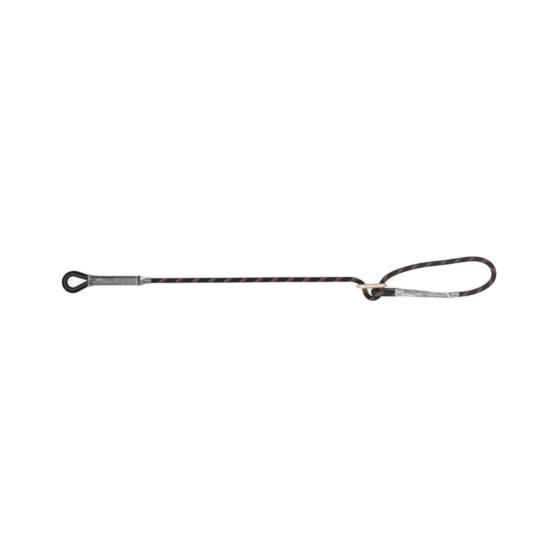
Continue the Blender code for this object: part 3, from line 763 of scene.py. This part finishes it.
def makeBlank():
    upper = thimble["profile"]
    profile = [*upper, *[(out, -z) for out, z in reversed(upper)], upper[0]]
    places = []
    for out, z in profile:
        outline = dropOutline(out)
        outline = np.vstack([outline, outline[:1]])
        places.append(np.column_stack([outline, np.full(len(outline), z)]))
    mesh = welded(gridMesh("thimble", np.array(places)), wall=True)
    mesh.transform(Matrix.Translation(thimble["centre"]) @ Matrix.Rotation(thimble["droop"], 4, "Z"))
    return mesh


def grooveCutter(line):
    angle = 2 * math.pi * np.arange(thimble["grooveSides"] + 1) / thimble["grooveSides"]
    lengths = lengthsOf(line)
    rows = alongLine(line, lengths, np.linspace(0, lengths[-1], thimble["grooveRows"]))
    along = unit(np.gradient(rows[:, :3], axis=0))
    left = unit(np.cross([0, 0, 1], along))
    outward = outwardFrom(angle, left, np.cross(along, left))
    return welded(gridMesh("groove", rows[:, None, :3] + thimble["grooveRadius"] * outward))


def finishedMesh(piece):
    # The piece's mesh with its modifiers applied.
    bpy.context.view_layer.update()
    made = bpy.data.meshes.new_from_object(piece.evaluated_get(bpy.context.evaluated_depsgraph_get()))
    old = piece.data
    piece.modifiers.clear()
    piece.data = made
    made.name = old.name
    return made


moulded = {
    "black": (0.003, 0.003, 0.0035),
    "worn": (0.006, 0.006, 0.0065),
    "scuff": (0.06, 0.06, 0.062),
    "scuffShare": 0.35,
    "gloss": (0.0070, 0.0077, 0.05, 0.40),  # from dull in the groove to polished on the two flat sides
    "spark": 1500.0,
    "cloud": 90.0,
    "scuffs": (260.0, 1600.0, 700.0),
    "scuffed": (0.62, 0.78),
    "roughness": (0.16, 0.32),  # how much it varies, and its least
    "sparkRelief": (0.00004, 0.6),
    "scuffRelief": (0.00003, 0.5),
}


def makeMoulded():
    made = startMaterial("mouldedBlack")
    place = objectPlace()
    rise = calc("ABSOLUTE", calc("SUBTRACT", split(place)[2], thimble["centre"][2]))
    spark = grain(place, moulded["spark"], 3.0)
    cloud = grain(place, moulded["cloud"], 4.0)
    scuffs = grain(stretched(place, moulded["scuffs"]), 1.0, 2.0)
    scuffed = stepUp(scuffs, *moulded["scuffed"])
    colour = mixed(cloud, moulded["black"], moulded["worn"])
    fine = bumped(spark, *moulded["sparkRelief"])
    dress(
        Base_Color=mixed(times(scuffed, moulded["scuffShare"]), colour, moulded["scuff"]),
        Specular_IOR_Level=stepUp(rise, *moulded["gloss"]),
        Roughness=calc("MULTIPLY_ADD", cloud, *moulded["roughness"]),
        Normal=bumped(scuffed, *moulded["scuffRelief"], fine),
    )
    return made


leftEye = {
    "radius": 0.0057,
    "coreInset": 0.0011,
    "tracerStart": 0.30,
    # Behind the thimble's nose the strands are pressed together, and their inner edges meet.
    "pressed": ((-0.4290, -0.4245, -0.4170, -0.4050), (0.0, 0.00135, 0.00075, 0.0)),
    "spread": ((-0.4170, -0.4050), (0.0, 0.05)),
}


def makeThimble(line):
    finish = makeMoulded()
    piece = addPiece(
        "thimbleBody", makeBlank(), "thimble_end", "black_plastic", finish, replaces=("thimble",)
    )
    cutter = placed("groove", grooveCutter(line[(line[:, 0] < thimble["grooveTo"])]))
    cut = piece.modifiers.new("groove", "BOOLEAN")
    cut.operation, cut.solver, cut.object = "DIFFERENCE", "EXACT", cutter
    made = finishedMesh(piece)
    bpy.data.objects.remove(cutter)
    made.materials.clear()
    made.materials.append(finish)
    made.set_sharp_from_angle(angle=thimble["sharpFrom"])


def makeLeftEye(line):
    pressed = np.interp(line[:, 0], *leftEye["pressed"])
    line[:, 1] -= pressed * np.sign(line[:, 1] - leftSewn["rows"][0][1])
    mesh = ropeMesh(
        "leftEyeRope",
        line,
        lambda place: place / rope["pitch"] + leftEye["tracerStart"],
        coreInset=leftEye["coreInset"],
        wider=pressed / line[:, 3] + np.interp(line[:, 0], *leftEye["spread"]),
    )
    addPiece(
        "leftEyeRope", mesh, "thimble_end", "braided_sheath", shadedSheathFinish, coreFinish,
        replaces=("left_eye_sheath", "left_eye_core"),
    )


leftEyeLine = sewnLine(leftSewn, [(x, y, leftSewn["axisZ"], leftEye["radius"]) for x, y in eyeRoute])
makeThimble(leftEyeLine)
makeLeftEye(leftEyeLine)

terminalEye = {
    "radius": 0.0054,
    "coreInset": 0.0011,
    "spread": 0.09,
    "noseSpread": 0.42,  # on top of that, at the nose
    "nose": (0.2777, 0.0180, 0.7),  # its x and z, and the share of a height that counts
    "noseReach": 0.0105,
    "upperMark": 0.2928,  # where the tracer lies on top of the upper leg, and of the lower leg
    "lowerMark": 0.3000,
    "marksBeyond": 10,
    "highlightFrom": 0.020,  # the painted highlight, along the lower leg from the nose, over the next length, up to an x
    "highlightOver": 0.006,
    "highlightTo": 0.345,
    # Under the right sleeve the painted highlight grows in, by x.
    "sleeveHighlight": ((0.334, 0.340), (0.0, 0.60)),
}


def makeTerminalEye():
    route = [(x, y, rope["lie"] + lift, terminalEye["radius"]) for x, y, lift in terminalLifts]
    line = sewnLine(rightSewn, route)[::-1]
    x, lengths, pitch = line[:, 0], lengthsOf(line), rope["pitch"]
    nose = np.argmin(x)
    upper = np.interp(terminalEye["upperMark"], x[nose:], lengths[nose:])
    lower = np.interp(-terminalEye["lowerMark"], -x[: nose + 1], lengths[: nose + 1])
    twist = 0.5 + round((upper - lower) / pitch - 0.5)
    beyond = terminalEye["marksBeyond"]
    places = [lower - beyond * pitch, lower, upper, upper + beyond * pitch]
    turns = [tracerTop + turn for turn in (-twist - beyond, -twist, 0, beyond)]
    noseX, noseZ, tall = terminalEye["nose"]
    off = np.hypot(x - noseX, tall * (line[:, 2] - noseZ)) / terminalEye["noseReach"]
    # pale is the share of a painted highlight on the rope's top at each row.
    pale = np.clip((lengths[nose] - terminalEye["highlightFrom"] - lengths) / terminalEye["highlightOver"], 0, 1)
    mesh = ropeMesh(
        "terminalEyeRope",
        line,
        lambda place: float(np.interp(place, places, turns)),
        facing="side",
        coreInset=terminalEye["coreInset"],
        wider=terminalEye["spread"] + terminalEye["noseSpread"] * np.exp(-(off**2)),
        pale=np.maximum(pale * (x < terminalEye["highlightTo"]), np.interp(x, *terminalEye["sleeveHighlight"])),
    )
    addPiece(
        "terminalEyeRope", mesh, "adjuster_end", "braided_sheath", eyeSheathFinish, coreFinish,
        replaces=("terminal_eye_sheath", "terminal_eye_core"),
    )


makeTerminalEye()
print("thimble and sewn eyes are made")


ring = {
    "place": (0.2736, -0.0031, 0.0195),
    "turn": math.radians(2.6),
    "bend": 0.0142,
    "straight": 0.02015,
    "barRadius": 0.0053,
    "tipRadius": 0.0034,
    "bendSteps": 48,
    "straightSteps": 28,
    "sides": 56,
}


def ringLine():
    points = []
    for side in (1, -1):
        for k in range(ring["bendSteps"] + 1):
            a = math.pi * (k / ring["bendSteps"] - 0.5)
            radius = ring["barRadius"] + (ring["tipRadius"] - ring["barRadius"]) * math.cos(a) ** 2
            across = side * (ring["straight"] + ring["bend"] * math.cos(a))
            points.append((across, side * ring["bend"] * math.sin(a), radius))
        for k in range(1, ring["straightSteps"]):
            share = 1 - 2 * k / ring["straightSteps"]
            points.append((side * ring["straight"] * share, side * ring["bend"], ring["barRadius"]))
    return np.array(points)


def makeRing():
    line = ringLine()
    flat = np.zeros(len(line))
    along = unit(np.roll(line, -1, axis=0)[:, :2] - np.roll(line, 1, axis=0)[:, :2])
    out = np.column_stack([along[:, 1], flat, -along[:, 0]])
    angle = 2 * math.pi * np.arange(ring["sides"] + 1) / ring["sides"]
    middle = np.column_stack([line[:, 0], flat, line[:, 1]])
    outward = outwardFrom(angle, out, np.broadcast_to([0.0, 1.0, 0.0], out.shape))
    places = middle[:, None, :] + line[:, 2][:, None, None] * outward
    mesh = welded(gridMesh("adjusterRing", np.concatenate([places, places[:1]])))
    mesh.transform(Matrix.Translation(ring["place"]) @ Matrix.Rotation(ring["turn"], 4, "Z"))
    return mesh


anodised = {
    "gold": (0.755, 0.622, 0.475),
    "deep": (0.64, 0.51, 0.37),
    "bareAndHighlight": (1.0, 0.93, 0.79),
    "cloud": 70.0,
    "brushed": (60.0, 2400.0, 2400.0),
    "rubs": (110.0, 500.0, 300.0),
    "rubbed": (0.60, 0.74),
    "rubShare": 0.5,
    "bendRubAndHighlight": (0.018, 0.028, 0.0, 0.55),  # rubbed bare with a painted highlight towards the two bends, by the distance from the middle
    "roughness": (0.16, 0.36),
    "relief": (0.00002, 0.6),
}


def makeAnodised():
    made = startMaterial("goldAnodised", Metallic=1.0, Coat_Weight=0.05, Coat_Roughness=0.2)
    place = objectPlace()
    cloud = grain(place, anodised["cloud"], 3.0)
    brushed = grain(stretched(place, anodised["brushed"]), 1.0, 3.0)
    rubs = grain(stretched(place, anodised["rubs"]), 1.0, 4.0)
    rubAndHighlight = times(stepUp(rubs, *anodised["rubbed"]), anodised["rubShare"])
    off = calc("ABSOLUTE", calc("SUBTRACT", split(place)[0], ring["place"][0]))
    # The bends are rubbed bare and lightened with a painted highlight.
    rubAndHighlight = calc("MAXIMUM", rubAndHighlight, stepUp(off, *anodised["bendRubAndHighlight"]))
    colour = mixed(cloud, anodised["deep"], anodised["gold"])
    dress(
        Base_Color=mixed(rubAndHighlight, colour, anodised["bareAndHighlight"]),
        Roughness=calc("MULTIPLY_ADD", brushed, *anodised["roughness"]),
        Normal=bumped(brushed, *anodised["relief"]),
    )
    return made


addPiece(
    "adjusterRing", makeRing(), "adjuster", "gold_aluminium", makeAnodised(), replaces=("adjuster_ring",)
)
print("ring is made")


sleeve = {
    "around": 96,
    "along": 240,
    "lip": 0.0005,
    "flats": 0.35,  # lower is flatter between the strands
    "waves": ((0.7, 90, 420), (0.3, 330, 700)),  # share, and how fine along and across
    "waveTop": 0.25,
    "sideHaze": 1.5,  # higher keeps a side's haze nearer to the edge
    "rim": (0.90, 0.07),  # where a side's painted shade starts, and how fast it grows
}
# Haze along a sleeve: x, then at its upper edge, middle and lower edge seen from above. At the edges it is
# partly the wall's own frosting and partly a painted reflection, where the wall is seen at a slant.
leftHaze = [
    (-0.4262, 0.29, 0.25, 0.29), (-0.4247, 0.23, 0.21, 0.23), (-0.4236, 0.12, 0.13, 0.12),
    (-0.4190, 0.09, 0.09, 0.10), (-0.4172, 0.08, 0.08, 0.09), (-0.4150, 0.03, 0.04, 0.08),
    (-0.4000, 0.02, 0.015, 0.06),
    (-0.3720, 0.02, 0.02, 0.05), (-0.3670, 0.03, 0.04, 0.03), (-0.3560, 0.05, 0.04, 0.04),
    (-0.3300, 0.06, 0.04, 0.06), (-0.3090, 0.07, 0.05, 0.06), (-0.3075, 0.10, 0.28, 0.16),
    (-0.3042, 0.14, 0.32, 0.12), (-0.3028, 0.06, 0.11, 0.05), (-0.3014, 0.01, 0.02, 0.02),
    (-0.3000, 0.005, 0.02, 0.05), (-0.2984, 0.005, 0.06, 0.10), (-0.2970, 0.08, 0.11, 0.09),
    (-0.2955, 0.13, 0.13, 0.08), (-0.2880, 0.14, 0.11, 0.11), (-0.2830, 0.14, 0.12, 0.15),
    (-0.2750, 0.15, 0.13, 0.18), (-0.2728, 0.15, 0.13, 0.18), (-0.2718, 0.26, 0.23, 0.28),
]
rightHaze = [
    (0.3329, 0.74, 0.64, 0.51), (0.3345, 0.64, 0.54, 0.31), (0.3380, 0.38, 0.59, 0.28),
    (0.3440, 0.33, 0.64, 0.38), (0.3500, 0.38, 0.56, 0.77), (0.3540, 0.31, 0.38, 0.74),
    (0.3640, 0.28, 0.38, 0.64), (0.3760, 0.31, 0.37, 0.54), (0.3900, 0.44, 0.36, 0.41),
    (0.4080, 0.58, 0.31, 0.35), (0.4300, 0.63, 0.32, 0.32), (0.4480, 0.58, 0.34, 0.39),
    (0.4580, 0.49, 0.32, 0.51), (0.4640, 0.46, 0.35, 0.58), (0.4700, 0.44, 0.37, 0.46),
    (0.4800, 0.46, 0.39, 0.44), (0.4860, 0.46, 0.44, 0.42), (0.4907, 0.60, 0.58, 0.51),
]
# Folds with painted light: two ends seen from above, then half width, haze (raised for a painted highlight,
# lowered for painted shade) and height.
leftFolds = [
    ((-0.4225, 0.0205), (-0.4180, 0.0125), 0.0009, 0.10, 0.0002),
    ((-0.2955, 0.0150), (-0.2860, 0.0135), 0.0009, 0.12, 0.0002),
    ((-0.2920, 0.0075), (-0.2820, 0.0060), 0.0008, 0.10, 0.0002),
    ((-0.2840, 0.0120), (-0.2740, 0.0105), 0.0008, 0.10, 0.0002),
]
rightFolds = [
    ((0.3350, -0.0100), (0.3362, -0.0160), 0.0010, 0.70, 0.0004),
    ((0.3362, -0.0180), (0.3405, -0.0180), 0.0015, 1.05, 0.0005),
    ((0.3475, -0.0172), (0.3520, -0.0180), 0.0014, 0.90, 0.0005),
    ((0.3548, -0.0192), (0.4042, -0.0219), 0.0012, 0.19, 0.0005),
    ((0.4042, -0.0219), (0.4240, -0.0241), 0.0012, 0.19, 0.0005),
    ((0.3548, -0.0160), (0.3869, -0.0184), 0.0010, -0.16, -0.0004),
    ((0.3869, -0.0184), (0.3968, -0.0196), 0.0010, -0.16, -0.0004),
    ((0.3745, -0.0244), (0.3893, -0.0247), 0.0009, -0.14, -0.0004),
    ((0.3472, -0.0261), (0.3793, -0.0268), 0.0009, 0.22, 0.0004),
    ((0.4042, -0.0266), (0.4140, -0.0268), 0.0010, -0.19, -0.0004),
    ((0.4091, -0.0214), (0.4214, -0.0216), 0.0010, -0.16, -0.0004),
    ((0.4289, -0.0254), (0.4388, -0.0261), 0.0010, 0.16, 0.0004),
    ((0.4597, -0.0168), (0.4627, -0.0245), 0.0012, 0.88, 0.0007),
    ((0.4627, -0.0245), (0.4647, -0.0318), 0.0012, 0.93, 0.0007),
    ((0.4717, -0.0205), (0.4692, -0.0268), 0.0010, 0.32, 0.0004),
    ((0.4692, -0.0268), (0.4662, -0.0312), 0.0010, 0.41, 0.0004),
    ((0.4655, -0.0205), (0.4664, -0.0265), 0.0009, -0.42, -0.0006),
]
# How deep the wall's small waves are along a sleeve.
leftWaves = [
    (-0.4262, 0.0006), (-0.4150, 0.0006), (-0.4000, 0.0002), (-0.3060, 0.0002), (-0.2950, 0.0005),
    (-0.2718, 0.0002),
]
rightWaves = [
    (0.3329, 0.0010), (0.3560, 0.0007), (0.3700, 0.0003), (0.4500, 0.0003), (0.4600, 0.0009),
    (0.4907, 0.0004),
]


def softSection(end, x, turn, inset):
    # A point round both strands, with the flats between them eased in.
    middle, across, outward, spread, radius, cover, flare = sewnFrame(end, x)
    wide = radius + sleeveFit["room"] + sleeveFit["wall"] + flare + sleeve["lip"] - inset
    tall = radius + cover + flare - inset
    eased = math.sin(math.pi / 2 * min(max(math.cos(turn) / sleeve["flats"], -1.0), 1.0))
    return middle + (spread * eased + wide * math.cos(turn)) * across + tall * math.sin(turn) * outward


def foldAt(folds, x, y):
    # The haze, with its painted highlight and shade, and the height that the folds add at a place seen from
    # above.
    haze, height = 0.0, 0.0
    for (startX, startY), (endX, endY), wide, paintedLight, higher in folds:
        alongX, alongY = endX - startX, endY - startY
        share = ((x - startX) * alongX + (y - startY) * alongY) / (alongX**2 + alongY**2)
        share = min(max(share, 0.0), 1.0)
        off = math.hypot(x - startX - share * alongX, y - startY - share * alongY) / wide
        shape = math.exp(-off * off)
        haze, height = haze + paintedLight * shape, height + higher * shape
    return haze, height


def waviness(point):
    return sum(
        share * noise.noise(Vector((point.x * fineAlong, point.y * fineAcross, point.z * fineAcross)))
        for share, fineAlong, fineAcross in sleeve["waves"]
    )


def thicken(piece, name, thickness, even=False):
    wall = piece.modifiers.new(name, "SOLIDIFY")
    wall.thickness, wall.offset = thickness, -1.0
    wall.use_even_offset = even


def makeSleeve(name, end, haze, folds, waves, body, finish, replaces):
    xs = np.linspace(*end["sleeve"], sleeve["along"] + 1)
    turns = 2 * math.pi * np.arange(sleeve["around"] + 1) / sleeve["around"]
    places = np.zeros((len(xs), len(turns), 3))
    hazes, rims = np.zeros((len(xs), len(turns))), np.zeros((len(xs), len(turns)))
    rimFrom, rimOver = sleeve["rim"]
    hazeTable, waveTable = np.array(haze), np.array(waves)
    for i, x in enumerate(xs):
        outline = [softSection(end, x, turn, 0.0) for turn in turns]
        middle = sewnFrame(end, x)[0]
        half = max(point.y for point in outline) - middle.y
        upper, centre, lower = (np.interp(x, hazeTable[:, 0], hazeTable[:, k]) for k in (1, 2, 3))
        depth = float(np.interp(x, waveTable[:, 0], waveTable[:, 1]))
        for j, point in enumerate(outline):
            out = (point - middle).normalized()
            # Folds paint highlight and shade into the haze on the sleeve's top.
            paintedLight, higher = foldAt(folds, x, point.y) if point.z > middle.z else (0.0, 0.0)
            places[i, j] = point + (depth * min(waviness(point), sleeve["waveTop"]) + higher) * out
            side = min(max((point.y - middle.y) / half, -1.0), 1.0)
            edge = upper if side > 0 else lower
            # Towards the sides the haze is partly a painted reflection.
            hazes[i, j] = centre + abs(side) ** sleeve["sideHaze"] * (edge - centre) + paintedLight
            # rims hold the painted shade at the tube's sides.
            rims[i, j] = min(max((abs(side) - rimFrom) / rimOver, 0.0), 1.0)
    mesh = welded(gridMesh(name, places, haze=hazes, rim=rims), wall=True)
    piece = addPiece(name, mesh, body, "clear_sleeve", finish, replaces=replaces)
    thicken(piece, "wall", sleeveFit["wall"], even=True)


clear = {
    "colour": (0.79, 0.785, 0.81),
    "yellowed": (0.69, 0.685, 0.70),
    "rim": (0.20, 0.20, 0.21),  # painted shade: at its sides the wall is seen edge on, and darker
    "rimShare": 0.30,
    "streaks": (60.0, 330.0, 330.0),
    "streaked": (0.36, 0.66),
    "varied": (1.1, 0.42),  # how much the streaks change the haze, and its least
    "cloud": 180.0,
    "roughness": (0.25, 0.2),
    "ripple": (0.00012, 0.8),
    "relief": (0.0001, 0.4),
}


def makeClear():
    made = startMaterial("clearSleeve", IOR=1.46, Coat_Weight=0.3, Coat_Roughness=0.18)
    place = objectPlace()
    streaks = grain(stretched(place, clear["streaks"]), 1.0, 4.0)
    cloud = grain(place, clear["cloud"], 4.0)
    # The sides get painted shade: darker, and more opaque.
    rim = ownValue("rim", "Fac")
    colour = mixed(cloud, clear["colour"], clear["yellowed"])
    varied = calc("MULTIPLY_ADD", stepUp(streaks, *clear["streaked"]), *clear["varied"])
    alpha = calc("MULTIPLY", ownValue("haze", "Fac"), varied, clamp=True)
    ripple = bumped(streaks, *clear["ripple"])
    dress(
        Base_Color=mixed(rim, colour, clear["rim"]),
        Alpha=calc("MAXIMUM", alpha, times(rim, clear["rimShare"])),
        Roughness=calc("MULTIPLY_ADD", streaks, *clear["roughness"]),
        Normal=bumped(cloud, *clear["relief"], ripple),
    )
    return made


clearFinish = makeClear()
makeSleeve(
    "leftSleeve", leftSewn, leftHaze, leftFolds, leftWaves, "thimble_end", clearFinish,
    ("left_sleeve",),
)
makeSleeve(
    "rightSleeve", rightSewn, rightHaze, rightFolds, rightWaves, "adjuster_end", clearFinish,
    ("right_sleeve",),
)
print("sleeves are made")


label = {
    "from": -0.4145,
    "to": -0.3055,
    "turnFrom": math.radians(75.5),
    "turnTo": math.radians(143.5),
    "rows": 160,
    "columns": 40,
    "inset": 0.0013,
    "thickness": 0.0003,
    "paper": (0.094, 0.094, 0.100),
    "paperHigh": 1.25,
    "pale": (0.30, 0.30, 0.31),
    "white": (0.60, 0.60, 0.61),
    "red": (0.34, 0.088, 0.148),
    "line": (0.07, 0.07, 0.073),
    "edge": 0.0003,  # how soft a patch's ends are, unless its row says, and its sides
    "sideEdge": 0.015,
    "fibre": 900.0,
    "relief": 0.00003,
}
# The print, in order: from and to along the label and down it, colour, strength.
labelPatches = [
    (-0.4044, -0.4008, 0.12, 0.36, "white", 0.8),
    (-0.4039, -0.3930, 0.10, 0.55, "pale", 0.3, 0.0012),
    (-0.3988, -0.3777, 0.02, 0.29, "red", 1.0),
    (-0.3968, -0.3937, 0.06, 0.28, "white", 0.9),
    (-0.3918, -0.3892, 0.06, 0.29, "line", 0.7),
    (-0.3770, -0.3645, 0.02, 0.98, "line", 0.22),
    (-0.3625, -0.3572, 0.04, 0.80, "pale", 0.30),
    (-0.3925, -0.3660, 0.38, 0.43, "pale", 0.8),
    (-0.3925, -0.3700, 0.48, 0.53, "pale", 0.8),
    (-0.3925, -0.3650, 0.58, 0.63, "pale", 0.8),
    (-0.3925, -0.3720, 0.70, 0.75, "pale", 0.8),
    (-0.3641, -0.3634, 0.05, 0.95, "line", 0.8),
    (-0.3440, -0.3433, 0.05, 0.95, "line", 0.8),
    (-0.3429, -0.3065, 0.06, 0.94, "pale", 0.45),
    (-0.3376, -0.3082, 0.14, 0.86, "paper", 0.6),
    *[(-0.3560, -0.3450, down, down + 0.05, "pale", 0.6) for down in (0.26, 0.42, 0.58, 0.74)],
]


def makeLabelFinish():
    made = startMaterial("printedLabel", Roughness=0.55)
    along = split(objectPlace())[0]
    down = ownValue("down", "Fac")
    fibre = grain(objectPlace(), label["fibre"], 3.0)
    colour = mixed(fibre, label["paper"], tuple(label["paperHigh"] * part for part in label["paper"]))
    for start, end, top, bottom, paint, strength, *soft in labelPatches:
        lengthwise = within(along, start, end, *(soft or [label["edge"]]))
        inside = times(lengthwise, within(down, top, bottom, label["sideEdge"]))
        colour = mixed(times(inside, strength), colour, label[paint])
    dress(Base_Color=colour, Normal=bumped(fibre, label["relief"]))
    return made


def makeLabel():
    turns = np.linspace(label["turnFrom"], label["turnTo"], label["rows"] + 1)
    shares = np.linspace(0, 1, label["columns"] + 1)
    places = []
    for x in np.linspace(label["from"], label["to"], label["rows"] + 1):
        section = np.array([softSection(leftSewn, x, turn, label["inset"]) for turn in turns])
        lengths = lengthsOf(section)
        places.append(alongLine(section, lengths, np.linspace(0, lengths[-1], len(shares))))
    down = np.broadcast_to(shares[None, :], (len(places), len(shares)))
    mesh = welded(gridMesh("label", np.array(places), down=down), wall=True, facesUp=True)
    finish = makeLabelFinish()
    piece = addPiece("labelStrip", mesh, "thimble_end", "printed_label", finish, replaces=("label",))
    thicken(piece, "paper", label["thickness"])


makeLabel()


# The seams' threads are the solids themselves.
thread = {
    "colour": (0.46, 0.45, 0.43),
    "dark": (0.22, 0.215, 0.205),
    "twist": 900.0,
    "uneven": 1.5,
    "relief": 0.00008,
}


def makeThread():
    made = startMaterial("seamThread", Roughness=0.7, Sheen_Weight=0.1)
    twist = newNode("TexWave", wave_type="BANDS", bands_direction="DIAGONAL")
    twist = fed(twist, Vector=objectPlace(), Scale=thread["twist"], Distortion=thread["uneven"])
    strands = twist["Fac"]
    dress(
        Base_Color=mixed(strands, thread["dark"], thread["colour"]),
        Normal=bumped(strands, thread["relief"]),
    )
    return made


threadFinish = makeThread()
for words in ("left_needle_thread", "left_bobbin_thread", "right_needle_thread", "right_bobbin_thread"):
    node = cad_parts[words]
    node.data.materials.clear()
    node.data.materials.append(threadFinish)
print("label and threads are finished")
